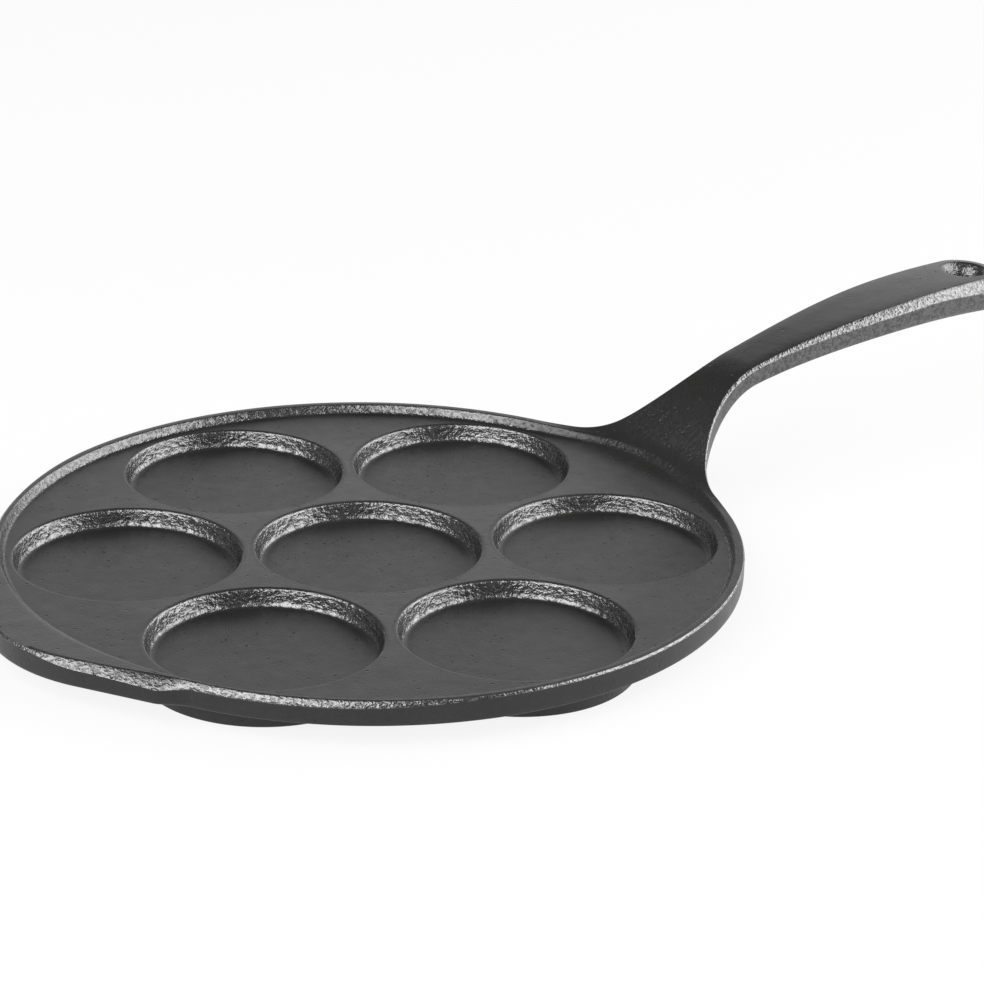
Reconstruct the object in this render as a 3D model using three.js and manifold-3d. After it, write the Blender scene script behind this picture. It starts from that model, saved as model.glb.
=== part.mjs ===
// Plett pan: a round cast-iron plate with a low rim, seven shallow round wells,
// a rising handle with a hanging hole, and a broad lifting tab opposite the handle.
// Millimetres, +Z up, handle along +X. The origin is under the centre well, on the table.
// The pan is one casting. Its regions are separate bodies with a hairline seam between them.
import * as THREE from 'three';
import { mergeVertices } from 'three/addons/utils/BufferGeometryUtils.js';
import Module from 'manifold-3d';

// Seam between two regions of the casting
const SEAM = 0.3;

// Wells: six around one, each a shallow tapered dish with a thick floor the pan stands on
const RING_WELLS = 6;
const WELL_RADIUS = 35.5;
const WELL_DEPTH = 5.6;
const WELL_LEAN = 2.7; // from the lip's inner edge in to the flat of the floor
const WELL_LIP_ROUND = 1.6;
const WELL_FOOT_ROUND = 1.2;
const WELL_FLOOR_THICKNESS = 5.6;
const WELL_FLANGE = 0.5;
const WELL_WEB = 0.9;
const BOSS_DRAFT = 0.1;
const BOSS_ROUND = 0.6;

// Plate and rim
const PLATE_THICKNESS = 4.8;
const RIM_WIDTH = 4;
const RIM_HEIGHT = 2.6;
const RIM_FLANK = 2.2;
const RIM_SHOULDER = 1.7;
const RIM_UNDER_ROUND = 1;

// Handle seen from above: fillets out of the rim, a neck, a wider grip and a round end
const ROOT_FILLET = 40;
const NECK_WIDTH = 19;
const GRIP_WIDTH = 27;
const GRIP_START = 72;
const HANDLE_REACH = 149;

// Handle seen from the side: a ramp off the plate that bends into a long shallow crown
const RAMP_SETBACK = 6.8;
const RAMP_ANGLE = 43;
const RAMP_BEND = 9;
const ROOT_BEND = 3;
const CROWN_RISE = 41.2;
const CROWN_REACH = 127;
const CROWN_RADIUS = 340;
const NECK_THICKNESS = 5.2;
const EYE_THICKNESS = 11.4;

// Handle edges: the sides lean out to a parting line and in again to the underside
const GRIP_EDGE_RUN = 2.4;
const GRIP_EDGE_DROP = 2.4;
const EYE_EDGE_DROP = 4.1;
const GRIP_UNDER_RUN = 2.2;

// Hanging hole, flared at both mouths
const HOLE_RADIUS = 5;
const HOLE_FLARE = 3;

// Lifting tab: a round nose with straight flanks that end in small shoulders on the rim
const TAB_REACH = 12.1;
const TAB_NOSE_RADIUS = 52;
const TAB_FLANK_ANGLE = 29;
const TAB_SHOULDER_ANGLE = 25.5;
const TAB_UNDER_ROUND = 0.6;

// Facets
const WELL_FACETS = 48;
const RIM_FACETS = 120;
const ROUND_FACETS = 2;

// Derived levels and circles
const PLATE_TOP = WELL_FLOOR_THICKNESS + WELL_DEPTH;
const PLATE_BOTTOM = PLATE_TOP - PLATE_THICKNESS;
const RIM_TOP = PLATE_TOP + RIM_HEIGHT;
const CELL_RADIUS = WELL_RADIUS + WELL_FLANGE;
const WELL_PITCH = 2 * (CELL_RADIUS + SEAM) + WELL_WEB;
const PLATE_RADIUS = WELL_PITCH + CELL_RADIUS + SEAM + WELL_WEB;
const RIM_FOOT = PLATE_RADIUS + SEAM;
const PAN_RADIUS = RIM_FOOT + RIM_WIDTH;
const RIM_CREST = RIM_FOOT + RIM_FLANK;
// Planes across the pan, just clear of the wells, where the handle and the tab begin
const END_PLANE = WELL_PITCH * Math.cos(Math.PI / RING_WELLS) + CELL_RADIUS + 2 * SEAM + WELL_WEB;

const EYE_RADIUS = GRIP_WIDTH / 2;
const EYE_X = PAN_RADIUS + HANDLE_REACH - EYE_RADIUS;
const NECK_HALF = NECK_WIDTH / 2;
const FILLET_Y = NECK_HALF + ROOT_FILLET;
const FILLET_X = Math.sqrt((PAN_RADIUS + ROOT_FILLET) ** 2 - FILLET_Y ** 2);
const FILLET_START = FILLET_X * PAN_RADIUS / (PAN_RADIUS + ROOT_FILLET);
const GRIP_X = FILLET_X + GRIP_START;

const wasm = await Module();
wasm.setup();

const radians = THREE.MathUtils.degToRad;
const { smoothstep, lerp } = THREE.MathUtils;

function smoothMax(a, b, bend) {
  const near = Math.max(bend - Math.abs(a - b), 0) / bend;
  return Math.max(a, b) + near * near * bend / 4;
}

function smoothMin(a, b, bend) {
  return -smoothMax(-a, -b, bend);
}

function toSolid(geometry) {
  const bare = geometry.clone();
  bare.deleteAttribute('normal');
  bare.deleteAttribute('uv');
  const welded = mergeVertices(bare, 1e-4);
  return new wasm.Manifold(new wasm.Mesh({
    numProp: 3,
    vertProperties: new Float32Array(welded.attributes.position.array),
    triVerts: new Uint32Array(welded.index.array),
  }));
}

function toGeometry(solid) {
  const raw = solid.getMesh();
  const geometry = new THREE.BufferGeometry();
  geometry.setAttribute('position', new THREE.BufferAttribute(new Float32Array(raw.vertProperties), 3));
  geometry.setIndex(new THREE.BufferAttribute(new Uint32Array(raw.triVerts), 1));
  const flat = geometry.toNonIndexed();
  flat.computeVertexNormals();
  return flat;
}

// Points of an arc about a centre, in radius and height, turning by sweep degrees
function arc(centre, radius, from, sweep) {
  const points = [];
  for (let i = 0; i <= ROUND_FACETS; i += 1) {
    const angle = radians(from + sweep * i / ROUND_FACETS);
    points.push(new THREE.Vector2(centre[0] + radius * Math.cos(angle), centre[1] + radius * Math.sin(angle)));
  }
  return points;
}

function revolve(profile, facets) {
  return new THREE.LatheGeometry(profile, facets).rotateX(Math.PI / 2);
}

// A block that fills the space between two corners
function block(low, high) {
  const size = high.map((value, i) => value - low[i]);
  const geometry = new THREE.BoxGeometry(...size);
  geometry.translate(...low.map((value, i) => value + size[i] / 2));
  return toSolid(geometry);
}

const iron = () => new THREE.MeshStandardMaterial({ color: 0x414140, roughness: 0.58, metalness: 0.45 });

function piece(name, geometry) {
  const mesh = new THREE.Mesh(geometry, iron());
  mesh.name = name;
  return mesh;
}

// A well's floor: a thick disc whose flat underside is the boss that the pan stands on
function wellFloorGeometry() {
  const bossRadius = CELL_RADIUS - BOSS_DRAFT;
  return revolve([
    new THREE.Vector2(0, 0),
    ...arc([bossRadius - BOSS_ROUND, BOSS_ROUND], BOSS_ROUND, 270, 90),
    new THREE.Vector2(CELL_RADIUS, WELL_FLOOR_THICKNESS),
    new THREE.Vector2(0, WELL_FLOOR_THICKNESS),
  ], WELL_FACETS);
}

// A well's wall: a ring with a rounded lip, leaning in to a rounded foot on the floor
function wellWallGeometry() {
  const foot = WELL_FLOOR_THICKNESS + SEAM;
  const footCentre = WELL_RADIUS - WELL_LIP_ROUND - WELL_LEAN;
  const footTurn = 90 - THREE.MathUtils.radToDeg(Math.acos(1 - SEAM / WELL_FOOT_ROUND));
  const footArc = arc([footCentre, WELL_FLOOR_THICKNESS + WELL_FOOT_ROUND], WELL_FOOT_ROUND, 0, -footTurn);
  return revolve([
    footArc.at(-1),
    new THREE.Vector2(CELL_RADIUS, foot),
    new THREE.Vector2(CELL_RADIUS, PLATE_TOP),
    ...arc([WELL_RADIUS, PLATE_TOP - WELL_LIP_ROUND], WELL_LIP_ROUND, 90, 90),
    ...footArc,
  ], WELL_FACETS);
}

function wellPlaces() {
  const places = [new THREE.Vector3(0, 0, 0)];
  for (let i = 0; i < RING_WELLS; i += 1) {
    const angle = 2 * Math.PI * (i + 0.5) / RING_WELLS;
    places.push(new THREE.Vector3(WELL_PITCH * Math.cos(angle), WELL_PITCH * Math.sin(angle), 0));
  }
  return places;
}

// The web of the plate: a disc with flats at the handle and the tab, and seven round openings
function plateGeometry() {
  const flat = END_PLANE - SEAM;
  const corner = Math.acos(flat / PLATE_RADIUS);
  const web = new THREE.Shape();
  web.absarc(0, 0, PLATE_RADIUS, corner, Math.PI - corner, false);
  web.absarc(0, 0, PLATE_RADIUS, Math.PI + corner, 2 * Math.PI - corner, false);
  web.closePath();
  for (const place of wellPlaces()) {
    const opening = new THREE.Path();
    opening.absarc(place.x, place.y, CELL_RADIUS + SEAM, 0, 2 * Math.PI, true);
    web.holes.push(opening);
  }
  const plate = new THREE.ExtrudeGeometry(web, {
    depth: PLATE_THICKNESS,
    bevelEnabled: false,
    curveSegments: WELL_FACETS / 2,
  });
  return plate.translate(0, 0, PLATE_BOTTOM);
}

// The rim: a gentle inner flank, a rounded outer shoulder and an upright wall
function rimRing() {
  const shoulder = [PAN_RADIUS - RIM_SHOULDER, RIM_TOP - RIM_SHOULDER];
  const under = [PAN_RADIUS - RIM_UNDER_ROUND, PLATE_BOTTOM + RIM_UNDER_ROUND];
  const profile = [
    new THREE.Vector2(RIM_FOOT, PLATE_BOTTOM),
    ...arc(under, RIM_UNDER_ROUND, 270, 90),
    ...arc(shoulder, RIM_SHOULDER, 0, 90),
    new THREE.Vector2(RIM_CREST, RIM_TOP),
    new THREE.Vector2(RIM_FOOT, PLATE_TOP),
    new THREE.Vector2(RIM_FOOT, PLATE_BOTTOM),
  ];
  return toSolid(revolve(profile, RIM_FACETS));
}

// The half of the rim on one side of the handle, from the tab's plane to the handle's
function rimHalf(side) {
  const reach = END_PLANE - SEAM;
  const far = 2 * PAN_RADIUS;
  const low = side > 0 ? 0 : -far;
  const half = block([-reach, low, -far], [reach, low + far, far]);
  return toGeometry(rimRing().intersect(half));
}

// The hollow inside the rim, above the plate
function dishCut() {
  const above = 2 * RIM_TOP;
  return toSolid(revolve([
    new THREE.Vector2(0, PLATE_TOP),
    new THREE.Vector2(RIM_FOOT, PLATE_TOP),
    new THREE.Vector2(RIM_CREST, RIM_TOP),
    new THREE.Vector2(RIM_CREST, above),
    new THREE.Vector2(0, above),
  ], RIM_FACETS));
}

// The lifting tab with its stretch of rim, drawn as an outline and hollowed by the dish
function tabGeometry() {
  const noseX = PAN_RADIUS + TAB_REACH - TAB_NOSE_RADIUS;
  const flank = radians(TAB_FLANK_ANGLE);
  const flankReach = TAB_NOSE_RADIUS + noseX * Math.cos(flank);
  const flankEnd = (angle) => {
    const reach = flankReach / Math.cos(flank - radians(angle));
    return new THREE.Vector2(reach * Math.cos(radians(angle)), reach * Math.sin(radians(angle)));
  };
  const shoulder = flankEnd(TAB_SHOULDER_ANGLE);
  const shoulderPull = flankEnd((TAB_SHOULDER_ANGLE + TAB_FLANK_ANGLE) / 2);
  const rimAngle = Math.acos(END_PLANE / PAN_RADIUS);
  const onRim = (angle) => new THREE.Vector2(PAN_RADIUS * Math.cos(angle), PAN_RADIUS * Math.sin(angle));
  const rim = onRim(rimAngle);
  const rimPull = onRim(rimAngle - 0.3 * (rimAngle - radians(TAB_SHOULDER_ANGLE)));
  const backX = END_PLANE / 2;
  const outline = new THREE.Shape();
  outline.moveTo(backX, -rim.y);
  outline.lineTo(rim.x, -rim.y);
  outline.bezierCurveTo(rimPull.x, -rimPull.y, shoulderPull.x, -shoulderPull.y, shoulder.x, -shoulder.y);
  outline.absarc(noseX, 0, TAB_NOSE_RADIUS, -flank, flank, false);
  outline.lineTo(shoulder.x, shoulder.y);
  outline.bezierCurveTo(shoulderPull.x, shoulderPull.y, rimPull.x, rimPull.y, rim.x, rim.y);
  outline.lineTo(backX, rim.y);
  outline.closePath();
  const slab = new THREE.ExtrudeGeometry(outline, {
    depth: RIM_TOP - PLATE_BOTTOM - RIM_SHOULDER - TAB_UNDER_ROUND,
    bevelSize: RIM_SHOULDER,
    bevelOffset: -RIM_SHOULDER,
    bevelThickness: RIM_SHOULDER,
    bevelSegments: ROUND_FACETS,
    curveSegments: 16,
  });
  slab.translate(0, 0, PLATE_BOTTOM + TAB_UNDER_ROUND);
  const far = 2 * PAN_RADIUS;
  const kept = block([END_PLANE, -far, PLATE_BOTTOM], [far, far, far]);
  const tab = toSolid(slab).intersect(kept).subtract(dishCut());
  return toGeometry(tab.rotate([0, 0, 180]));
}

// Share of the way from the neck to the full grip
function gripShare(x) {
  return smoothstep(x, FILLET_X, GRIP_X);
}

// Half the width of the handle's outline at x, moved in by an inset
function handleHalfWidth(x, inset) {
  if (x < FILLET_START) {
    return Math.sqrt((PAN_RADIUS - inset) ** 2 - x * x);
  }
  if (x < FILLET_X) {
    return FILLET_Y - Math.sqrt((ROOT_FILLET + inset) ** 2 - (x - FILLET_X) ** 2);
  }
  return lerp(NECK_HALF, EYE_RADIUS, gripShare(x)) - inset;
}

// Height of the handle's top line: the ramp bends over into the crown
function handleTop(x) {
  const ramp = PLATE_TOP + (x - PAN_RADIUS + RAMP_SETBACK) * Math.tan(radians(RAMP_ANGLE));
  const crown = PLATE_TOP + CROWN_RISE - (x - PAN_RADIUS - CROWN_REACH) ** 2 / (2 * CROWN_RADIUS);
  return smoothMin(ramp, crown, RAMP_BEND);
}

// Height of the casting's top at a place: the plate, the rim's flank or the handle
function topHeight(x, y) {
  const flank = (Math.hypot(x, y) - RIM_FOOT) / RIM_FLANK;
  const dish = PLATE_TOP + RIM_HEIGHT * THREE.MathUtils.clamp(flank, 0, 1);
  return smoothMax(dish, handleTop(x), ROOT_BEND);
}

// Height of the underside: the handle thickens from neck to eye, square to its top line
function underHeight(x) {
  const share = THREE.MathUtils.clamp((x - FILLET_X) / (EYE_X - FILLET_X), 0, 1);
  const slope = handleTop(x + 0.5) - handleTop(x - 0.5);
  const thickness = lerp(NECK_THICKNESS, EYE_THICKNESS, share) * Math.hypot(1, slope);
  return smoothMax(PLATE_BOTTOM, handleTop(x) - thickness, ROOT_BEND);
}

// Steps of the upper edge, as inset and fall, from the top face to the parting line
function upperSteps(run, drop) {
  return [0, 45, 90].map((angle) => [
    run * (1 - Math.sin(radians(angle))),
    drop * (1 - Math.cos(radians(angle))),
  ]);
}

// Steps of the lower edge, as inset and rise, from the side to the underside
function lowerSteps(run) {
  return [[0.3 * run, 0.7 * run], [run, 0]];
}

// How far the upper edge falls to the parting line: a little at the rim, most at the eye
function edgeDrop(x) {
  const atGrip = lerp(RIM_SHOULDER, GRIP_EDGE_DROP, gripShare(x));
  return lerp(atGrip, EYE_EDGE_DROP, smoothstep(x, EYE_X - 2 * EYE_RADIUS, EYE_X));
}

// Closed section of the handle at x, anticlockwise as seen from the handle's end
function handleSection(x) {
  const grip = gripShare(x);
  const run = lerp(RIM_SHOULDER, GRIP_EDGE_RUN, grip);
  const drop = edgeDrop(x);
  const underRun = lerp(RIM_UNDER_ROUND, GRIP_UNDER_RUN, grip);
  const face = handleHalfWidth(x, run);
  const half = [0, 0.3, 0.55, 0.75, 0.9].map((share) => [face * share, topHeight(x, face * share)]);
  for (const [inset, fall] of upperSteps(run, drop)) {
    half.push([handleHalfWidth(x, inset), topHeight(x, face) - fall]);
  }
  for (const [inset, rise] of lowerSteps(underRun)) {
    half.push([handleHalfWidth(x, inset), underHeight(x) + rise]);
  }
  half.push([0, underHeight(x)]);
  const mirrored = half.slice(1, -1).map(([y, z]) => [-y, z]);
  return [...half.reverse(), ...mirrored].map(([y, z]) => new THREE.Vector3(x, y, z));
}

// Skin between a row of closed sections, with both ends closed
function loft(sections) {
  const count = sections[0].length;
  const last = (sections.length - 1) * count;
  const index = [];
  for (let row = 0; row < last; row += count) {
    for (let i = 0; i < count; i += 1) {
      const a = row + i;
      const b = row + (i + 1) % count;
      index.push(a, b, a + count, b, b + count, a + count);
    }
  }
  const cap = (section) => THREE.ShapeUtils.triangulateShape(
    section.map((point) => new THREE.Vector2(point.y, point.z)), []);
  for (const [a, b, c] of cap(sections[0])) {
    index.push(a, c, b);
  }
  for (const [a, b, c] of cap(sections.at(-1))) {
    index.push(last + a, last + b, last + c);
  }
  const geometry = new THREE.BufferGeometry().setFromPoints(sections.flat());
  geometry.setIndex(index);
  return geometry;
}

function handleRows() {
  const rows = [];
  const add = (from, to, step) => {
    const count = Math.ceil((to - from) / step);
    for (let i = 0; i < count; i += 1) {
      rows.push(from + (to - from) * i / count);
    }
  };
  add(END_PLANE, FILLET_START, 1.4);
  add(FILLET_START, (FILLET_START + FILLET_X) / 2, 2);
  add((FILLET_START + FILLET_X) / 2, FILLET_X, 4);
  add(FILLET_X, EYE_X, 8);
  rows.push(EYE_X);
  return rows;
}

// The handle with its stretch of rim: a loft, a round eye at its end and the hanging hole
function handleGeometry() {
  const top = handleTop(EYE_X);
  const under = underHeight(EYE_X);
  const side = [
    ...lowerSteps(GRIP_UNDER_RUN).map(([inset, rise]) => [inset, under + rise]).reverse(),
    ...upperSteps(GRIP_EDGE_RUN, EYE_EDGE_DROP).map(([inset, fall]) => [inset, top - fall]).reverse(),
  ];
  const eye = toSolid(revolve([
    new THREE.Vector2(0, under),
    ...side.map(([inset, z]) => new THREE.Vector2(EYE_RADIUS - inset, z)),
    new THREE.Vector2(0, top),
  ], WELL_FACETS)).translate([EYE_X, 0, 0]);
  const past = 2;
  const hole = toSolid(revolve([
    new THREE.Vector2(0, under - past),
    new THREE.Vector2(HOLE_RADIUS + HOLE_FLARE, under - past),
    ...arc([HOLE_RADIUS + HOLE_FLARE, under + HOLE_FLARE], HOLE_FLARE, 270, -90),
    ...arc([HOLE_RADIUS + HOLE_FLARE, top - HOLE_FLARE], HOLE_FLARE, 180, -90),
    new THREE.Vector2(HOLE_RADIUS + HOLE_FLARE, top + past),
    new THREE.Vector2(0, top + past),
  ], WELL_FACETS)).translate([EYE_X, 0, 0]);
  const bar = toSolid(loft(handleRows().map(handleSection)));
  return toGeometry(bar.add(eye).subtract(hole));
}

const pan = new THREE.Group();
pan.name = 'plett_pan';
pan.add(piece('cooking_plate', plateGeometry()));
pan.add(piece('rim_left', rimHalf(1)));
pan.add(piece('rim_right', rimHalf(-1)));
wellPlaces().forEach((place, i) => {
  const well = new THREE.Group();
  well.name = i === 0 ? 'well_centre' : `well_${i}`;
  well.position.copy(place);
  well.add(piece(`${well.name}_floor`, wellFloorGeometry()));
  well.add(piece(`${well.name}_wall`, wellWallGeometry()));
  pan.add(well);
});
pan.add(piece('handle', handleGeometry()));
pan.add(piece('front_tab', tabGeometry()));

export default pan;
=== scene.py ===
import bpy
import bmesh
import math
from mathutils import Matrix, Vector


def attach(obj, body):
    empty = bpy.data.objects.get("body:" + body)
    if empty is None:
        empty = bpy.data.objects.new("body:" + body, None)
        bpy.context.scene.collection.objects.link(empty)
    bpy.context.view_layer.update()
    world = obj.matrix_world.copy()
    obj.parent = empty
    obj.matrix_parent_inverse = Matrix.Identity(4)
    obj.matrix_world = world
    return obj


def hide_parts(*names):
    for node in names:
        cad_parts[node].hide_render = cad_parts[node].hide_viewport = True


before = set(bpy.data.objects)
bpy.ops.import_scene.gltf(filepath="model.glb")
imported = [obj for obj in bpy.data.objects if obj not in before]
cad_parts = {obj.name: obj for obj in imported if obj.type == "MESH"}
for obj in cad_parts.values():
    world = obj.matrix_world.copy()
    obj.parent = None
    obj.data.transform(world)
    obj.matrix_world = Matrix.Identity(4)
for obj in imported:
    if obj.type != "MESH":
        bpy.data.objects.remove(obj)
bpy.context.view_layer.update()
scene = bpy.context.scene


# The seven wells, six around one, are round dishes sunk in the iron casting.
# Each has a rounded lip, a leaning sand-rough wall and a thick floor, smoother than the wall.
# The flat underside of the floor is the boss that the pan stands on.
MM = 0.001
WELLS_IN_RING = 6
RING_STEP = 360 / WELLS_IN_RING
WELL_PITCH = 73.5
WELL_CELL = 36.15
WELL_RADIUS = 35.7
WELL_DEPTH = 5.6
WELL_FLOOR = 5.6
WELL_LIP = 1.3
WELL_FOOT = 2.4
WELL_WALL_LEAN = 18.0
BOSS_ROUND = 0.6
PLATE_THICKNESS = 4.8
PLATE_TOP = WELL_FLOOR + WELL_DEPTH
PLATE_BOTTOM = PLATE_TOP - PLATE_THICKNESS
WELL_FACETS = 180
WALL_STEPS = 5
BOSS_STEPS = 5
FLOOR_RINGS = 8
UNDER_RINGS = 4


class Socket:
    """A node socket on which Python's operators add Math nodes."""

    def __init__(self, tree, socket):
        self.tree = tree
        self.socket = socket

    def node(self, kind, settings, sockets, output=0):
        """A new node in the same tree: its settings, then the values or links of its sockets."""
        made = self.tree.nodes.new(kind)
        for name, value in settings.items():
            setattr(made, name, value)
        for name, value in sockets.items():
            if isinstance(value, Socket):
                self.tree.links.new(value.socket, made.inputs[name])
            else:
                made.inputs[name].default_value = value
        return Socket(self.tree, made.outputs[output] if made.outputs else None)

    def math(self, operation, first, second=0.0):
        return self.node("ShaderNodeMath", {"operation": operation}, {0: first, 1: second})

    def __add__(self, other):
        return self.math("ADD", self, other)

    def __radd__(self, other):
        return self.math("ADD", other, self)

    def __sub__(self, other):
        return self.math("SUBTRACT", self, other)

    def __rsub__(self, other):
        return self.math("SUBTRACT", other, self)

    def __mul__(self, other):
        return self.math("MULTIPLY", self, other)

    def __rmul__(self, other):
        return self.math("MULTIPLY", other, self)

    def step(self, low, high):
        """0 below low, 1 above high and smooth between them."""
        return self.node("ShaderNodeMapRange", {"interpolation_type": "SMOOTHSTEP"},
                         {"Value": self, "From Min": low, "From Max": high})


def shader_tree(owner):
    """The emptied node tree of a material or the world, as a Socket to build from."""
    owner.use_nodes = True
    owner.node_tree.nodes.clear()
    return Socket(owner.node_tree, None)


# The scales of the iron's textures are features to a metre.
CRUMPLE_SCALE = 850
SAND_SCALE = 1900
PIT_SCALE = 420
MOTTLE_SCALE = 210
WAVE_SCALE = 70
BLOTCH_SCALE = 24
IRON_DARK = (0.014, 0.014, 0.0136, 1)
IRON_PALE = (0.022, 0.022, 0.0214, 1)
BLOTCH_SPAN = (0.3, 0.7)
PIT_BLACK = (0.006, 0.006, 0.006, 1)
PIT_COVER = 0.7
PIT_EDGE = (0.05, 0.28)
PIT_CHANCE = (0.62, 0.74)
PIT_DEPTH = 0.25
NOISE_MIDDLE = 0.5
SAND_ON_SLOPES = 0.15
SAND_ON_FLATS = 0.2
WAVE_HEIGHT = 0.6
RELIEF_HEIGHT = 0.00042
SKIN_IOR = 1.435
SKIN_ROUGHNESS = 0.24
BLOTCH_ROUGHNESS = 0.1
MOTTLE_ROUGHNESS = 0.14
POLISH_GAIN = 0.14
SLOPE_IOR = 3.0
SLOPE_ROUGHNESS = 0.1
SAND_ROUGHNESS = 0.1
GLINT_SPAN = (0.4, 0.58)
GLINT_LEAST = 0.4
GLINT_CRUMPLE = 0.6


def seasoned_iron():
    """Cast iron under baked-on oil: crumpled sand grain on the slopes, a finer skin on the flats."""
    iron = bpy.data.materials.new("seasoned_iron")
    make = shader_tree(iron)
    place = make.node("ShaderNodeTexCoord", {}, {}, "Object")
    round_place = make.node("ShaderNodeAttribute", {"attribute_name": "round_place"}, {}, "Vector")
    grain = make.node("ShaderNodeAttribute", {"attribute_name": "grain"}, {}, "Fac")
    polish = make.node("ShaderNodeAttribute", {"attribute_name": "polish"}, {}, "Fac")

    def noise(at, scale, detail, distortion=0.0):
        return make.node("ShaderNodeTexNoise", {}, {
            "Vector": at, "Scale": scale, "Detail": detail, "Distortion": distortion})

    def mixed(share, first, second):
        return make.node("ShaderNodeMix", {"data_type": "RGBA"}, {"Factor": share, 6: first, 7: second}, 2)

    crumple = noise(round_place, CRUMPLE_SCALE, detail=1.5, distortion=0.3)
    sand = noise(place, SAND_SCALE, detail=2)
    mottle = noise(place, MOTTLE_SCALE, detail=4)
    waves = noise(place, WAVE_SCALE, detail=2)
    blotches = noise(place, BLOTCH_SCALE, detail=3)
    cells = {"Vector": place, "Scale": PIT_SCALE}
    reach = make.node("ShaderNodeTexVoronoi", {}, cells, "Distance")
    cell_colour = make.node("ShaderNodeTexVoronoi", {}, cells, "Color")
    chance = make.node("ShaderNodeSeparateColor", {}, {"Color": cell_colour}, "Red")
    pits = (1 - reach.step(*PIT_EDGE)) * chance.step(*PIT_CHANCE)
    rough = grain * (crumple - NOISE_MIDDLE + (sand - NOISE_MIDDLE) * SAND_ON_SLOPES)
    relief = rough + sand * SAND_ON_FLATS + waves * WAVE_HEIGHT - pits * PIT_DEPTH
    bump = make.node("ShaderNodeBump", {}, {"Strength": 1.0, "Distance": RELIEF_HEIGHT, "Height": relief})
    blotched = mixed(blotches.step(*BLOTCH_SPAN), IRON_DARK, IRON_PALE)
    colour = mixed(pits * PIT_COVER, blotched, PIT_BLACK)
    dullness = SKIN_ROUGHNESS + blotches * BLOTCH_ROUGHNESS + mottle * MOTTLE_ROUGHNESS
    skin = make.node("ShaderNodeBsdfPrincipled", {}, {
        "Base Color": colour, "Roughness": dullness - polish * POLISH_GAIN, "IOR": SKIN_IOR,
        "Normal": bump})
    slope = make.node("ShaderNodeBsdfPrincipled", {}, {
        "Base Color": colour, "Roughness": SLOPE_ROUGHNESS + sand * SAND_ROUGHNESS, "IOR": SLOPE_IOR,
        "Normal": bump})
    glints = (crumple * GLINT_CRUMPLE + sand * (1 - GLINT_CRUMPLE)).step(*GLINT_SPAN)
    shine = grain * (GLINT_LEAST + glints * (1 - GLINT_LEAST))
    surface = make.node("ShaderNodeMixShader", {}, {0: shine, 1: skin, 2: slope})
    make.node("ShaderNodeOutputMaterial", {}, {"Surface": surface})
    return iron


def arc(centre, radius, start, sweep, steps=8):
    """Points of an arc in radius and height, angles in degrees."""
    points = []
    for i in range(steps + 1):
        angle = math.radians(start + sweep * i / steps)
        points.append((centre[0] + radius * math.cos(angle), centre[1] + radius * math.sin(angle)))
    return points


def spread(first, last, count):
    """Evenly spaced numbers, both ends included."""
    return [first + (last - first) * i / count for i in range(count + 1)]


def ease(value, low, high):
    """0 below low, 1 above high and smooth between them."""
    share = min(max((value - low) / (high - low), 0), 1)
    return share * share * (3 - 2 * share)


def revolved(profile, facets):
    """A full turn of a profile of radius and height, as a grid of points."""
    turns = spread(0, 2 * math.pi, facets)
    return [[(r * math.cos(t), r * math.sin(t), z) for t in turns] for r, z in profile]


MERGE_REACH = 2e-6
SLIVER = 1e-7
SHARP_ANGLE = math.radians(40)


def casting(name, grids, faces=()):
    """One closed smooth mesh from grids of points and single faces, in millimetres."""
    points = []
    polygons = []
    for grid in grids:
        start = len(points)
        columns = len(grid[0])
        points += [point for row in grid for point in row]
        for row in range(len(grid) - 1):
            for column in range(columns - 1):
                corner = start + row * columns + column
                polygons.append((corner, corner + 1, corner + columns + 1, corner + columns))
    for face in faces:
        start = len(points)
        points += face
        polygons.append(tuple(range(start, len(points))))
    mesh = bpy.data.meshes.new(name)
    mesh.from_pydata([Vector(point) * MM for point in points], [], polygons)
    shell = bmesh.new()
    shell.from_mesh(mesh)
    bmesh.ops.remove_doubles(shell, verts=shell.verts, dist=MERGE_REACH)
    bmesh.ops.dissolve_degenerate(shell, edges=shell.edges, dist=SLIVER)
    bmesh.ops.recalc_face_normals(shell, faces=shell.faces)
    shell.to_mesh(mesh)
    shell.free()
    mesh.shade_smooth()
    mesh.set_sharp_from_angle(angle=SHARP_ANGLE)
    piece = bpy.data.objects.new(name, mesh)
    scene.collection.objects.link(piece)
    return piece


WALL_SAND = 0.03
WALL_BAND = (0.05, 0.35)
UNDER_SAND = 0.5
UNDER_BAND = (0.4, 0.8)
GENTLE_SLOPE = 0.06
SLOPE_BAND = 0.18
CRUMPLE_STRETCH = 1.5
UNDER_FACING = -0.5


def sandiness(normal, upright, gentle):
    """How much of the mould's sand shows on a face: none on the flats, all on the slopes."""
    if normal.z < 0:
        return upright + (UNDER_SAND - upright) * ease(-normal.z, *UNDER_BAND)
    slope = ease(1 - normal.z, gentle, gentle + SLOPE_BAND)
    return slope * (upright + (1 - upright) * ease(normal.z, *WALL_BAND))


def drawn_round(point, centres, radius):
    """A point drawn in along the round of the nearest centre, on which crumples come out long."""
    centre = min(centres, key=lambda c: math.hypot(point.x - c[0], point.y - c[1]))
    away = Vector((point.x - centre[0], point.y - centre[1], 0))
    reach = away.length - radius * (1 - 1 / CRUMPLE_STRETCH)
    return Vector((centre[0], centre[1], point.z)) + away.normalized() * reach


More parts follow.
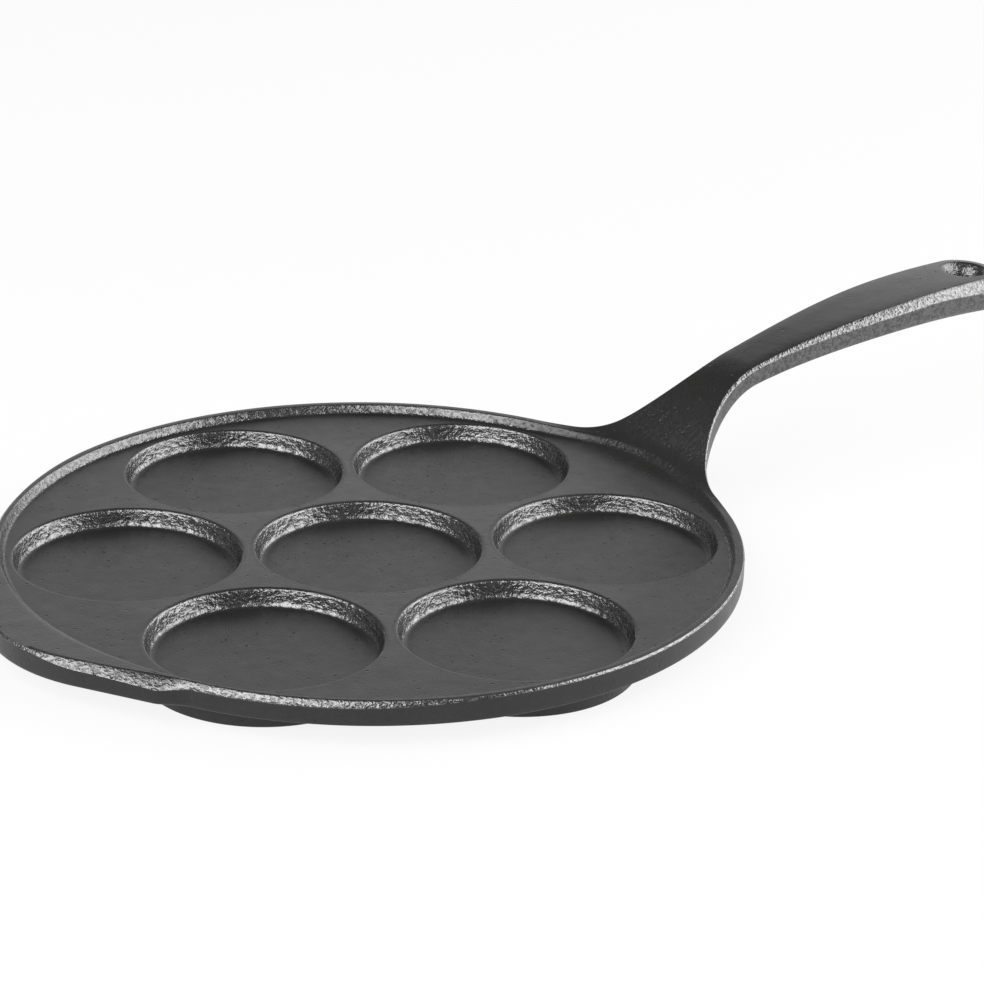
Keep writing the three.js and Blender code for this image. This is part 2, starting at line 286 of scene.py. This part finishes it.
def finish_iron(piece, *nodes, centres=((0, 0),), radius=0, gentle=GENTLE_SLOPE,
                upright=lambda point: WALL_SAND, dressed=lambda point: 0):
    """Marks a piece's sandy slopes, less where it is dressed, and puts it in its CAD nodes' place."""
    mesh = piece.data
    points = [vertex.co / MM for vertex in mesh.vertices]
    smooth = [dressed(point) for point in points]
    sandy = [upright(point) for point in points]
    polish = mesh.attributes.new("polish", "FLOAT", "POINT")
    polish.data.foreach_set("value", smooth)
    grain = mesh.attributes.new("grain", "FLOAT", "CORNER")
    for mark, loop, normal in zip(grain.data, mesh.loops, mesh.corner_normals):
        point = loop.vertex_index
        mark.value = sandiness(normal.vector, sandy[point], gentle) * (1 - smooth[point])
    places = mesh.attributes.new("round_place", "FLOAT_VECTOR", "POINT")
    for place, point, vertex in zip(places.data, points, mesh.vertices):
        under = vertex.normal.z < UNDER_FACING
        place.vector = (point if under else drawn_round(point, centres, radius)) * MM
    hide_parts(*nodes)
    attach(piece, "root")


def well_profile():
    """Half section of a well: underside, boss, lip, wall, foot and floor."""
    lean = math.radians(WELL_WALL_LEAN)
    lip = arc((WELL_RADIUS, PLATE_TOP - WELL_LIP), WELL_LIP, 90, 90 - WELL_WALL_LEAN)
    foot_height = WELL_FLOOR + WELL_FOOT * (1 - math.sin(lean))
    foot_radius = lip[-1][0] - (lip[-1][1] - foot_height) * math.tan(lean)
    foot_centre = (foot_radius - WELL_FOOT * math.cos(lean), WELL_FLOOR + WELL_FOOT)
    foot = arc(foot_centre, WELL_FOOT, -WELL_WALL_LEAN, WELL_WALL_LEAN - 90)
    wall_radii = spread(lip[-1][0], foot[0][0], WALL_STEPS)
    wall_heights = spread(lip[-1][1], foot[0][1], WALL_STEPS)
    wall = list(zip(wall_radii, wall_heights))[1:-1]
    boss = arc((WELL_CELL - BOSS_ROUND, BOSS_ROUND), BOSS_ROUND, -90, 90, BOSS_STEPS)
    floor = [(radius, WELL_FLOOR) for radius in spread(foot[-1][0], 0, FLOOR_RINGS)[1:]]
    under = [(radius, 0) for radius in spread(0, boss[0][0], UNDER_RINGS)[:-1]]
    return under + boss + [(WELL_CELL, PLATE_BOTTOM), (WELL_CELL, PLATE_TOP)] + lip + wall + foot + floor


iron = seasoned_iron()
wells = casting("wells", [revolved(well_profile(), WELL_FACETS)])

ring = bpy.data.node_groups.new("ring_of_wells", "GeometryNodeTree")
ring.interface.new_socket("Well", in_out="INPUT", socket_type="NodeSocketGeometry")
ring_count = ring.interface.new_socket("Wells In Ring", in_out="INPUT", socket_type="NodeSocketInt")
ring_pitch = ring.interface.new_socket("Pitch", in_out="INPUT", socket_type="NodeSocketFloat")
ring_turn = ring.interface.new_socket("Turn", in_out="INPUT", socket_type="NodeSocketFloat")
ring_iron = ring.interface.new_socket("Iron", in_out="INPUT", socket_type="NodeSocketMaterial")
ring.interface.new_socket("Wells", in_out="OUTPUT", socket_type="NodeSocketGeometry")
build = Socket(ring, None)
given = ring.nodes.new("NodeGroupInput")
well_in, count_in, pitch_in, turn_in, iron_in = [Socket(ring, given.outputs[i]) for i in range(5)]
circle = build.node("GeometryNodeMeshCircle", {}, {"Vertices": count_in, "Radius": pitch_in})
turned = build.node("ShaderNodeCombineXYZ", {}, {"Z": turn_in})
circle = build.node("GeometryNodeTransform", {}, {"Geometry": circle, "Rotation": turned})
spots = build.node("GeometryNodeMeshToPoints", {}, {"Mesh": circle})
middle = build.node("GeometryNodePoints", {}, {"Count": 1})
places = build.node("GeometryNodeJoinGeometry", {}, {"Geometry": spots})
ring.links.new(middle.socket, places.socket.node.inputs["Geometry"])
copies = build.node("GeometryNodeInstanceOnPoints", {}, {"Points": places, "Instance": well_in})
solid = build.node("GeometryNodeRealizeInstances", {}, {"Geometry": copies})
solid = build.node("GeometryNodeSetMaterial", {}, {"Geometry": solid, "Material": iron_in})
build.node("NodeGroupOutput", {}, {0: solid})
pattern = wells.modifiers.new("ring_of_wells", "NODES")
pattern.node_group = ring
pattern[ring_count.identifier] = WELLS_IN_RING
pattern[ring_pitch.identifier] = WELL_PITCH * MM
pattern[ring_turn.identifier] = math.radians(RING_STEP / 2)
pattern[ring_iron.identifier] = iron
evaluated = wells.evaluated_get(bpy.context.evaluated_depsgraph_get())
wells_mesh = bpy.data.meshes.new_from_object(evaluated)
wells.modifiers.clear()
wells.data = wells_mesh
well_names = ["well_centre"] + [f"well_{i + 1}" for i in range(WELLS_IN_RING)]
well_nodes = [f"{name}_{part}" for name in well_names for part in ("floor", "wall")]
ring_angles = [math.radians(RING_STEP * (i + 0.5)) for i in range(WELLS_IN_RING)]
well_places = [(0, 0)] + [(WELL_PITCH * math.cos(t), WELL_PITCH * math.sin(t)) for t in ring_angles]
finish_iron(wells, *well_nodes, centres=well_places, radius=WELL_RADIUS, gentle=0.15)


# The plate is the flat web that joins the wells, a little thinner than the wells are deep.
# It is one with them in the casting: its openings end on the flat round each well's lip,
# and its border rises softly into the rim. Its top is smooth, with a few pits.
PLATE_RADIUS = 110.85
RIM_FOOT = 109.8
RIM_CREST = 112.5
RIM_HEIGHT = 2.6
FLANK_POWER = 1.4
JOIN_PLANE = 101.0
WEB_WEAR = 0.5
WEB_WORN = 70.0
WEB_ROUGH = 95.0
RIM_FACETS = 220
BORDER_STEPS = 4


def dish_height(radius):
    """Height of the plate and the rim's inner flank at a radius: a long soft foot, a steeper top."""
    share = max((radius - RIM_FOOT) / (RIM_CREST - RIM_FOOT), 0)
    return PLATE_TOP + RIM_HEIGHT * ease(share ** FLANK_POWER, 0, 1)


def rim_limit(radius):
    """Angle from the handle's axis at which a circle meets the plane of the handle's root."""
    return math.acos(JOIN_PLANE / radius)


def round_points(centre, radius, turns):
    """Points at a radius round a centre, one for each angle."""
    return [(centre[0] + radius * math.cos(t), centre[1] + radius * math.sin(t)) for t in turns]


def side_rows(profile, side):
    """A profile of radius and height carried round one side of the pan, from handle to tab."""
    rows = []
    for radius, height in profile:
        limit = rim_limit(radius)
        turns = spread(limit, math.pi - limit, RIM_FACETS)
        rows.append([(x, side * y, height) for x, y in round_points((0, 0), radius, turns)])
    return rows


def pierced_face(outline, height):
    """Level face between an outline and the openings for the wells, as triangles."""
    turns = spread(0, 2 * math.pi, WELL_FACETS)[:-1]
    shell = bmesh.new()
    edges = []
    for loop in [outline] + [round_points(centre, WELL_CELL, turns) for centre in well_places]:
        corners = [shell.verts.new((x, y, height)) for x, y in loop]
        edges += [shell.edges.new((corners[i - 1], corners[i])) for i in range(len(corners))]
    bmesh.ops.triangle_fill(shell, use_beauty=True, edges=edges, normal=(0, 0, 1))
    triangles = [[corner.co.copy() for corner in face.verts] for face in shell.faces]
    shell.free()
    return triangles


border = [(radius, dish_height(radius)) for radius in spread(RIM_FOOT, PLATE_RADIUS, BORDER_STEPS)]
border.append((PLATE_RADIUS, PLATE_BOTTOM))
left = side_rows(border, 1)
right = side_rows(border, -1)
plate_faces = []
for row, height in ((0, PLATE_TOP), (-1, PLATE_BOTTOM)):
    plate_faces += pierced_face([point[:2] for point in left[row] + right[row][::-1]], height)
for end in (0, -1):
    plate_faces.append([row[end] for row in left] + [row[end] for row in right[::-1]])
well_turns = spread(0, 2 * math.pi, WELL_FACETS)
openings = [[[(x, y, z) for x, y in round_points(centre, WELL_CELL, well_turns)]
             for z in (PLATE_BOTTOM, PLATE_TOP)] for centre in well_places]
plate = casting("plate_web", [left, right] + openings, plate_faces)
plate.data.materials.append(iron)


def worn_web(point):
    """Share to which turners have worn the webs between the wells smooth."""
    return WEB_WEAR * (1 - ease(math.hypot(point.x, point.y), WEB_WORN, WEB_ROUGH))


finish_iron(plate, "cooking_plate", dressed=worn_web)


# The rim is a low bead round the plate, poured with it: a gentle inner flank, a narrow flat crest
# and an upright wall, sandy on the slopes. It runs on each side from the lifting tab to the handle.
# Its outer edge is a chamfered shoulder near the tab and fines down to a crisp edge near the handle.
PAN_RADIUS = 115.0
RIM_TOP = PLATE_TOP + RIM_HEIGHT
SHOULDER_RUN = 1.6
SHOULDER_DROP = 2.0
ROOT_RUN = 0.5
ROOT_DROP = 0.8
FINE_TURN = math.radians(106.0)
BROAD_TURN = math.radians(130.0)
UNDER_RUN = 1.0
EDGE_POWER = 1.35
WALL_POWER = 6.0
PARTING_BAND = 0.3
ROOT_WEAR = 0.85
ROOT_TURN = math.radians(20.0)
FLANK_WEAR = 0.3
FLANK_TURN = math.radians(40.0)
EDGE_STEPS = 10
FLANK_STEPS = 10


def blend(first, last, share):
    """A number part of the way from first to last."""
    return first + (last - first) * share


def shoulder(run, drop, power):
    """From a flat over a worn edge to a side: insets from the side and depths below the flat."""
    steps = []
    for i in range(EDGE_STEPS + 1):
        angle = math.pi / 2 * i / EDGE_STEPS
        out = math.sin(angle)
        down = max(math.cos(angle), 0)
        steps.append((run * (1 - out ** (2 / power)), drop * (1 - down ** (2 / power))))
    return steps


def edge_profile(top, under, run, drop, under_run, upper_power=EDGE_POWER, lower_power=WALL_POWER):
    """Side of the casting as insets and heights: a shoulder, the parting line, a lower side."""
    side = top - drop - under
    upper = [(inset, top - depth) for inset, depth in shoulder(run, drop, upper_power)]
    lower = [(inset, under + depth) for inset, depth in shoulder(under_run, side, lower_power)]
    return upper + [(0, top - drop - PARTING_BAND)] + lower[-2::-1]


def flank_wear(x, y):
    """Share to which the rim's inner flank is worn: a little all round, smooth beside the handle."""
    turn = math.atan2(abs(y), x)
    wear = blend(ROOT_WEAR, FLANK_WEAR, ease(turn, ROOT_TURN, FLANK_TURN))
    return wear * ease(math.hypot(x, y), RIM_FOOT, PLATE_RADIUS)


def worn_flank(point):
    """The wear of the rim's inner flank, and none on its shoulder, wall and underside."""
    inside = math.hypot(point.x, point.y) < RIM_CREST and point.z > PLATE_BOTTOM + UNDER_RUN
    return flank_wear(point.x, point.y) if inside else 0


def rim_outer(run, drop):
    """Outer side of the rim as radius and height, from its crest to its underside."""
    side = edge_profile(RIM_TOP, PLATE_BOTTOM, run, drop, UNDER_RUN)
    return [(PAN_RADIUS - inset, height) for inset, height in side]


def rim_section(run, drop):
    """The rim's whole section, closed: inner flank, crest, shoulder, wall and underside."""
    inner = [(radius, dish_height(radius)) for radius in spread(PLATE_RADIUS, RIM_CREST, FLANK_STEPS)]
    return inner + rim_outer(run, drop) + [(PLATE_RADIUS, PLATE_BOTTOM), inner[0]]


def rim_row(fine, broad, side):
    """One line of the rim from the handle, where its edge is fine, to the tab."""
    row = []
    for turn in spread(rim_limit(fine[0]), math.pi - rim_limit(broad[0]), RIM_FACETS):
        share = ease(turn, FINE_TURN, BROAD_TURN)
        x, y = round_points((0, 0), blend(fine[0], broad[0], share), [turn])[0]
        row.append((x, side * y, blend(fine[1], broad[1], share)))
    return row


fine_section = rim_section(ROOT_RUN, ROOT_DROP)
broad_section = rim_section(SHOULDER_RUN, SHOULDER_DROP)
for side, name in ((1, "rim_left"), (-1, "rim_right")):
    rows = [rim_row(fine, broad, side) for fine, broad in zip(fine_section, broad_section)]
    rim_ends = [[row[end] for row in rows[:-1]] for end in (0, -1)]
    rim = casting(f"{name}_bead", [rows], rim_ends)
    rim.data.materials.append(iron)
    finish_iron(rim, name, radius=PAN_RADIUS, dressed=worn_flank)


# The lifting tab is a broad lip of iron opposite the handle, poured with the rim.
# A cook lifts the far side of a full pan by it. Its wall has a round nose and straight flanks that
# end in small shoulders on the rim; its crest line runs back to the rim in a softer sweep.
TAB_REACH = 12.1
TAB_NOSE = 52.0
TAB_FLANK = math.radians(29.0)
TAB_SHOULDER = math.radians(23.5)
TAB_END = rim_limit(PAN_RADIUS)
NOSE_RUN = 0.4
NOSE_DROP = 0.7
NOSE_POWER = 1.05
CRISP_TURN = 0.15 * TAB_SHOULDER
WORN_TURN = 0.55 * TAB_SHOULDER
TAB_DROP = 1.9
BROADENING_DROP = 0.45
TAB_UNDER_RADII = (113.0, 112.0, PLATE_RADIUS)
LAND_SKIN = 0.05
TAB_SIDE_WEAR = 0.15
TAB_DISH_STEPS = 14
LAND_STEPS = 8


def tab_wall(angle):
    """How far the tab's wall stands out beyond the rim's at an angle from the handle's axis."""
    centre = PAN_RADIUS + TAB_REACH - TAB_NOSE
    nose = centre * math.cos(angle) + math.sqrt(TAB_NOSE ** 2 - (centre * math.sin(angle)) ** 2)
    flank = (TAB_NOSE + centre * math.cos(TAB_FLANK)) / math.cos(TAB_FLANK - angle)
    on_nose = math.atan2(nose * math.sin(angle), nose * math.cos(angle) - centre) < TAB_FLANK
    reach = (nose if on_nose else flank) - PAN_RADIUS
    return reach * (1 - ease(angle, TAB_SHOULDER, TAB_END))


def tab_crest(angle):
    """How far the tab's crest line stands out beyond the rim's."""
    return TAB_REACH * (1 - ease(angle, 0, TAB_END))


def tab_side(turn):
    """Reach and height down the tab's side: crisp at the nose, then a shoulder, broad at its end."""
    flank = ease(turn, CRISP_TURN, WORN_TURN)
    ending = ease(turn, TAB_SHOULDER, TAB_END)
    broadening = tab_wall(turn) - tab_crest(turn)
    run = blend(NOSE_RUN, SHOULDER_RUN, flank) + broadening
    drop = blend(blend(NOSE_DROP, TAB_DROP, flank), SHOULDER_DROP, ending) + BROADENING_DROP * broadening
    power = blend(NOSE_POWER, EDGE_POWER, ending)
    side = edge_profile(RIM_TOP, PLATE_BOTTOM, run, drop, UNDER_RUN, power)
    return [(PAN_RADIUS + tab_wall(turn) - inset, z) for inset, z in side]


def tab_row(radius, place):
    """One line of the tab from end to end: place gives its reach and height at an angle."""
    points = []
    for share in spread(-1, 1, RIM_FACETS):
        reach, height = place(abs(share) * TAB_END)
        angle = share * rim_limit(radius)
        points.append((-max(reach * math.cos(angle), JOIN_PLANE), reach * math.sin(angle), height))
    return points


tab_rows = []
for radius in spread(RIM_FOOT, RIM_CREST, TAB_DISH_STEPS):
    tab_rows.append(tab_row(radius, lambda turn: (radius, dish_height(radius))))
tab_outer = rim_outer(SHOULDER_RUN, SHOULDER_DROP)
for share in spread(0, 1, LAND_STEPS)[1:]:
    radius = blend(RIM_CREST, tab_outer[0][0], share)
    tab_rows.append(tab_row(radius, lambda turn: (blend(RIM_CREST, tab_side(turn)[0][0], share), RIM_TOP)))
for step, (radius, _) in enumerate(tab_outer[1:], 1):
    tab_rows.append(tab_row(radius, lambda turn: tab_side(turn)[step]))
for radius in TAB_UNDER_RADII:
    share = (radius - PLATE_RADIUS) / RIM_CREST
    tab_rows.append(tab_row(radius, lambda turn: (radius + share * tab_wall(turn), PLATE_BOTTOM)))
chord_top = [(-JOIN_PLANE, y, PLATE_TOP) for _, y, _ in tab_rows[0]]
chord_under = [(-JOIN_PLANE, y, PLATE_BOTTOM) for _, y, _ in tab_rows[-1]]
chord_wall = [chord_top[0], chord_top[-1], chord_under[-1], chord_under[0]]
tab_ends = [[row[end] for row in tab_rows] for end in (0, -1)]
tab = casting("lifting_tab", [[chord_top, tab_rows[0]], tab_rows, [tab_rows[-1], chord_under]],
              tab_ends + [chord_wall])
tab.data.materials.append(iron)


def worn_land(point):
    """Share to which cloths have worn the tab smooth: its land most, its shoulder a little."""
    radius = math.hypot(point.x, point.y)
    on_top = point.z > dish_height(radius) - LAND_SKIN
    return ease(radius, RIM_FOOT, RIM_CREST) if on_top else TAB_SIDE_WEAR


finish_iron(tab, "front_tab", radius=PAN_RADIUS, dressed=worn_land)


# The handle rises out of the rim in a concave ramp, bends over into a long shallow crown,
# and ends in a round eye with a flared hanging hole. Its top is flat and smooth; its sides lean
# out to the mould's parting line and in again below, and keep the grain of the sand.
ROOT_FILLET = 40.0
NECK_HALF = 8.5
EYE_RADIUS = 13.5
HANDLE_REACH = 149.0
GRIP_START = 72.0
EYE_X = PAN_RADIUS + HANDLE_REACH - EYE_RADIUS
FILLET_Y = NECK_HALF + ROOT_FILLET
FILLET_X = math.sqrt((PAN_RADIUS + ROOT_FILLET) ** 2 - FILLET_Y ** 2)
FILLET_START = FILLET_X * PAN_RADIUS / (PAN_RADIUS + ROOT_FILLET)
GRIP_X = FILLET_X + GRIP_START
RAMP_SETBACK = 6.8
RAMP_X = PAN_RADIUS - RAMP_SETBACK
RAMP_SLOPE = math.tan(math.radians(43.0))
RAMP_BEND = 9.0
ROOT_BEND = 6.5
CROWN_REACH = 127.0
CROWN_RISE = 41.19
CROWN_X = PAN_RADIUS + CROWN_REACH
CROWN_TOP = PLATE_TOP + CROWN_RISE
CROWN_RADIUS = 370.0
NECK_THICKNESS = 6.4
EYE_THICKNESS = 11.4
NECK_RUN = 0.9
NECK_DROP = 1.3
GRIP_RUN = 2.6
GRIP_DROP = 2.7
GRIP_POWER = 1.1
GRIP_CROWN = 0.25
EYE_DROP = 4.1
GRIP_UNDER_RUN = 2.2
GRIP_WALL_POWER = 2.4
HOLE_RADIUS = 5.0
HOLE_FLARE = 3.2
HOLE_DEPTH = 4.6
FLARE_POWER = 1.4
EYE_STRETCH = 16.0
EYE_START = EYE_X - EYE_STRETCH


def soft_max(a, b, bend):
    """The greater of two heights, with a bend of a given size where they meet."""
    near = max(bend - abs(a - b), 0) / bend
    return max(a, b) + near * near * bend / 4


def half_width(x, inset):
    """Half the width of the handle's outline at x, moved in by an inset."""
    if x < FILLET_START:
        return math.sqrt((PAN_RADIUS - inset) ** 2 - x * x)
    if x < FILLET_X:
        return FILLET_Y - math.sqrt((ROOT_FILLET + inset) ** 2 - (x - FILLET_X) ** 2)
    return blend(NECK_HALF, EYE_RADIUS, ease(x, FILLET_X, GRIP_X)) - inset


def handle_line(x):
    """Height of the handle's top line: the ramp bends over into the crown."""
    ramp = PLATE_TOP + (x - RAMP_X) * RAMP_SLOPE
    crown = CROWN_TOP - (x - CROWN_X) ** 2 / (2 * CROWN_RADIUS)
    return -soft_max(-ramp, -crown, RAMP_BEND)


def edge_run(x):
    """Width of the chamfer along the handle's top edge: narrow on the neck, broad on the grip."""
    neck = blend(ROOT_RUN, NECK_RUN, ease(x, JOIN_PLANE, FILLET_X))
    return blend(neck, GRIP_RUN, ease(x, FILLET_X, GRIP_X))


def top_height(x, y):
    """Height of the handle's top face, crowned across, where it grows out of the dish."""
    if x < EYE_X:
        across = abs(y) / half_width(x, edge_run(x))
    else:
        across = math.hypot(x - EYE_X, y) / (EYE_RADIUS - GRIP_RUN)
    crown = GRIP_CROWN * ease(x, PAN_RADIUS, FILLET_X) * across ** 4
    return soft_max(dish_height(math.hypot(x, y)), handle_line(x) - crown, ROOT_BEND)


def under_height(x):
    """Height of the underside: the handle thickens from neck to eye, square to its top line."""
    share = min(max((x - FILLET_X) / (EYE_X - FILLET_X), 0), 1)
    slope = handle_line(x + 0.5) - handle_line(x - 0.5)
    thickness = blend(NECK_THICKNESS, EYE_THICKNESS, share) * math.hypot(1, slope)
    return soft_max(PLATE_BOTTOM, handle_line(x) - thickness, ROOT_BEND)


def handle_side(x):
    """Side of the handle at x, as insets and heights, from the top face to the underside."""
    grip = ease(x, FILLET_X, GRIP_X)
    run = edge_run(x)
    neck_drop = blend(ROOT_DROP, NECK_DROP, ease(x, JOIN_PLANE, FILLET_X))
    drop = blend(blend(neck_drop, GRIP_DROP, grip), EYE_DROP, ease(x, EYE_X - 2 * EYE_RADIUS, EYE_X))
    top = top_height(x, half_width(x, run))
    return edge_profile(top, under_height(x), run, drop, blend(UNDER_RUN, GRIP_UNDER_RUN, grip),
                        blend(EDGE_POWER, GRIP_POWER, grip), blend(WALL_POWER, GRIP_WALL_POWER, grip))


def edge_row(x, side):
    """The handle's side at x as points, on the left for 1 or on the right for -1."""
    return [(x, side * half_width(x, inset), z) for inset, z in handle_side(x)]


def edge_round(angle):
    """The handle's side round its end, by the angle about the eye."""
    fall = handle_line(EYE_X + EYE_RADIUS * math.cos(angle)) - handle_line(EYE_X)
    row = []
    for inset, z in handle_side(EYE_X):
        x, y = round_points((EYE_X, 0), EYE_RADIUS - inset, [angle])[0]
        row.append((x, y, z + fall))
    return row


# The handle's faces are finest where the ramp bends and along the edges of the top.
RAMP_END = 131.0
RAMP_ROWS = 64
GRIP_ROWS = 62
EYE_ROWS = 14
TIP_STEPS = 56
EYE_RINGS = 10
MIDDLE_SHARE = 0.84
MIDDLE_COLUMNS = 64
EDGE_COLUMNS = 24


def eye_face(start_row, edge_index, height_at, sign):
    """Face round the hanging hole: out from the bore, over the flare, to the edge of the eye."""
    loop = start_row + [row[edge_index] for row in tip[1:-1]]
    loop.append(loop[0])
    turns = [math.atan2(y, x - EYE_X) for x, y, _ in loop]
    rings = []
    for inset, depth in shoulder(HOLE_FLARE, HOLE_DEPTH, FLARE_POWER)[::-1]:
        mouth = round_points((EYE_X, 0), HOLE_RADIUS + inset, turns)
        rings.append([(x, y, height_at(x, y) + sign * depth) for x, y in mouth])
    for share in spread(0, 1, EYE_RINGS)[1:-1]:
        between = [(blend(a[0], b[0], share), blend(a[1], b[1], share)) for a, b in zip(mouth, loop)]
        rings.append([(x, y, height_at(x, y)) for x, y in between])
    return rings + [loop]


columns = spread(-1, -MIDDLE_SHARE, EDGE_COLUMNS)[:-1]
columns += spread(-MIDDLE_SHARE, MIDDLE_SHARE, MIDDLE_COLUMNS)
columns += spread(MIDDLE_SHARE, 1, EDGE_COLUMNS)[1:]
rows_x = spread(JOIN_PLANE, RAMP_END, RAMP_ROWS) + spread(RAMP_END, EYE_START, GRIP_ROWS)[1:]
eye_x = spread(EYE_START, EYE_X, EYE_ROWS)
left_edge = [edge_row(x, 1) for x in rows_x]
right_edge = [edge_row(x, -1) for x in rows_x]
tip = [edge_row(x, 1) for x in eye_x]
tip += [edge_round(angle) for angle in spread(math.pi / 2, -math.pi / 2, TIP_STEPS)[1:-1]]
tip += [edge_row(x, -1) for x in eye_x[::-1]]
top_face = []
under_face = []
for x, row in zip(rows_x, left_edge):
    top_half = row[0][1]
    under_half = row[-1][1]
    top_face.append([(x, share * top_half, top_height(x, share * top_half)) for share in columns])
    under_face.append([(x, share * under_half, under_height(x)) for share in columns])
eye_top = eye_face(top_face[-1], 0, top_height, -1)
eye_under = eye_face(under_face[-1], -1, lambda x, y: under_height(x), 1)
bore = [eye_top[0], eye_under[0]]
root_face = top_face[0] + left_edge[0][1:] + under_face[0][-2::-1] + right_edge[0][-2:0:-1]
handle_faces = [top_face, under_face, left_edge, right_edge, tip, eye_top, eye_under, bore]
handle = casting("handle_grip", handle_faces, [root_face])
handle.data.materials.append(iron)

HOLE_WEAR = 0.3
RAMP_WEAR = 0.68
GRIP_WEAR = 0.85
FOOT_TURNS = (0.12, 0.45)
RAMP_FADE = 16.0
GRIP_FADE = 10.0
WORN_EDGE = 0.8
GRIP_SAND = 0.55


def dressed_top(point):
    """Share to which the handle is dressed smooth: its top face, its hole a little, its edges not."""
    x, y, z = point
    from_eye = math.hypot(x - EYE_X, y)
    if from_eye < HOLE_RADIUS + HOLE_FLARE:
        return HOLE_WEAR
    if z < blend(under_height(x), handle_line(x), 0.5):
        return 0
    inset = half_width(x, 0) - abs(y) if x < EYE_X else EYE_RADIUS - from_eye
    run = edge_run(x) if x < EYE_X else GRIP_RUN
    foot = (1 - ease(math.atan2(abs(y), x), *FOOT_TURNS)) * ease(x, JOIN_PLANE, RAMP_X)
    ramp = max(foot, ease(x, RAMP_X, RAMP_X + RAMP_FADE))
    smooth = blend(RAMP_WEAR, GRIP_WEAR, ease(x, RAMP_X + GRIP_FADE, FILLET_X))
    return blend(flank_wear(x, y), smooth, ramp) * ease(inset, WORN_EDGE * run, run)


def sandy_side(point):
    """Grain on the handle's upright sides: as little as on the rim at the root, more on the grip."""
    return blend(WALL_SAND, GRIP_SAND, ease(point.x, JOIN_PLANE, FILLET_X))


finish_iron(handle, "handle", upright=sandy_side, dressed=dressed_top)


# The studio is a white floor and backdrop in a dim room. Two broad soft boxes, a high one at the
# front left and a lower one at the right, draw the bright grain on the slopes.
# The camera stands where the photograph was taken from.
FLOOR_REACH = 6.0
FLOOR_GAP = 0.0003
FLOOR_WHITE = 0.88
ROOM_LEVEL = 0.14
BEHIND = Vector((0.8, 0.6, 0))
BACKDROP_SIDES = (0.6, 0.85)
BACKDROP_TOP = (0.5, 0.75)
LIGHT_AIM = Vector((0.04, 0, 0.01))
CAMERA_SENSOR = 36
CAMERA_LENS = 131.216
CAMERA_REACH = 50
CAMERA_PLACE = Vector((-594.458, -813.642, 449.507)) * MM
CAMERA_AIM = Vector((57.279, 12.213, 11.2)) * MM
CAMERA_TILT = math.radians(1.438)


def white_floor():
    """White paper that keeps its shadows, and glows in what the camera and the iron see of it."""
    white = bpy.data.materials.new("white_floor")
    make = shader_tree(white)
    rays = [make.node("ShaderNodeLightPath", {}, {}, name)
            for name in ("Is Camera Ray", "Is Glossy Ray", "Is Transmission Ray")]
    paper = make.node("ShaderNodeBsdfDiffuse", {}, {"Color": (FLOOR_WHITE, FLOOR_WHITE, FLOOR_WHITE, 1)})
    glow = make.node("ShaderNodeEmission", {}, {"Color": (1, 1, 1, 1), "Strength": 1.0})
    seen = (rays[0] + rays[1] + rays[2]) * FLOOR_WHITE
    mixed = make.node("ShaderNodeMixShader", {}, {0: seen, 1: paper, 2: glow})
    make.node("ShaderNodeOutputMaterial", {}, {"Surface": mixed})
    return white


floor_mesh = bpy.data.meshes.new("studio_floor")
floor_sides = ((-1, -1), (1, -1), (1, 1), (-1, 1))
floor_corners = [(x * FLOOR_REACH, y * FLOOR_REACH, -FLOOR_GAP) for x, y in floor_sides]
floor_mesh.from_pydata(floor_corners, [], [(0, 1, 2, 3)])
floor_mesh.materials.append(white_floor())
studio_floor = bpy.data.objects.new("studio_floor", floor_mesh)
scene.collection.objects.link(studio_floor)

world = bpy.data.worlds.new("studio")
scene.world = world
sky = shader_tree(world)
seen = sky.node("ShaderNodeLightPath", {}, {}, "Is Camera Ray")
way = sky.node("ShaderNodeTexCoord", {}, {}, "Generated")
height = sky.node("ShaderNodeSeparateXYZ", {}, {"Vector": way}, "Z")
behind = sky.node("ShaderNodeVectorMath", {"operation": "DOT_PRODUCT"}, {0: way, 1: BEHIND}, "Value")
backdrop = behind.step(*BACKDROP_SIDES) * (1 - height.step(*BACKDROP_TOP))
shown = sky.math("MAXIMUM", seen, backdrop)
sweep = sky.node("ShaderNodeBackground", {}, {
    "Color": (1, 1, 1, 1), "Strength": ROOM_LEVEL + shown * (1 - ROOM_LEVEL)})
sky.node("ShaderNodeOutputWorld", {}, {"Surface": sweep})


def soft_box(name, place, size, power):
    """A rectangular lamp that faces the pan, with its size in metres and its power in watts."""
    lamp = bpy.data.lights.new(name, "AREA")
    lamp.shape = "RECTANGLE"
    lamp.size, lamp.size_y = size
    lamp.energy = power
    light = bpy.data.objects.new(name, lamp)
    light.location = place
    light.rotation_mode = "QUATERNION"
    light.rotation_quaternion = (LIGHT_AIM - light.location).to_track_quat("-Z", "Y")
    scene.collection.objects.link(light)


soft_box("front_left_box", place=(-0.90, -0.11, 0.90), size=(1.8, 1.1), power=19)
soft_box("right_box", place=(1.06, -0.57, 0.58), size=(1.9, 1.3), power=22)

camera = bpy.data.objects.new("photo_camera", bpy.data.cameras.new("photo_camera"))
camera.data.sensor_width = CAMERA_SENSOR
camera.data.lens = CAMERA_LENS
camera.data.clip_end = CAMERA_REACH
level = (CAMERA_AIM - CAMERA_PLACE).to_track_quat("-Z", "Y").to_matrix()
camera.rotation_mode = "QUATERNION"
camera.location = CAMERA_PLACE
camera.rotation_quaternion = (level @ Matrix.Rotation(CAMERA_TILT, 3, "Z")).to_quaternion()
scene.collection.objects.link(camera)
scene.camera = camera
scene.view_settings.view_transform = "Standard"
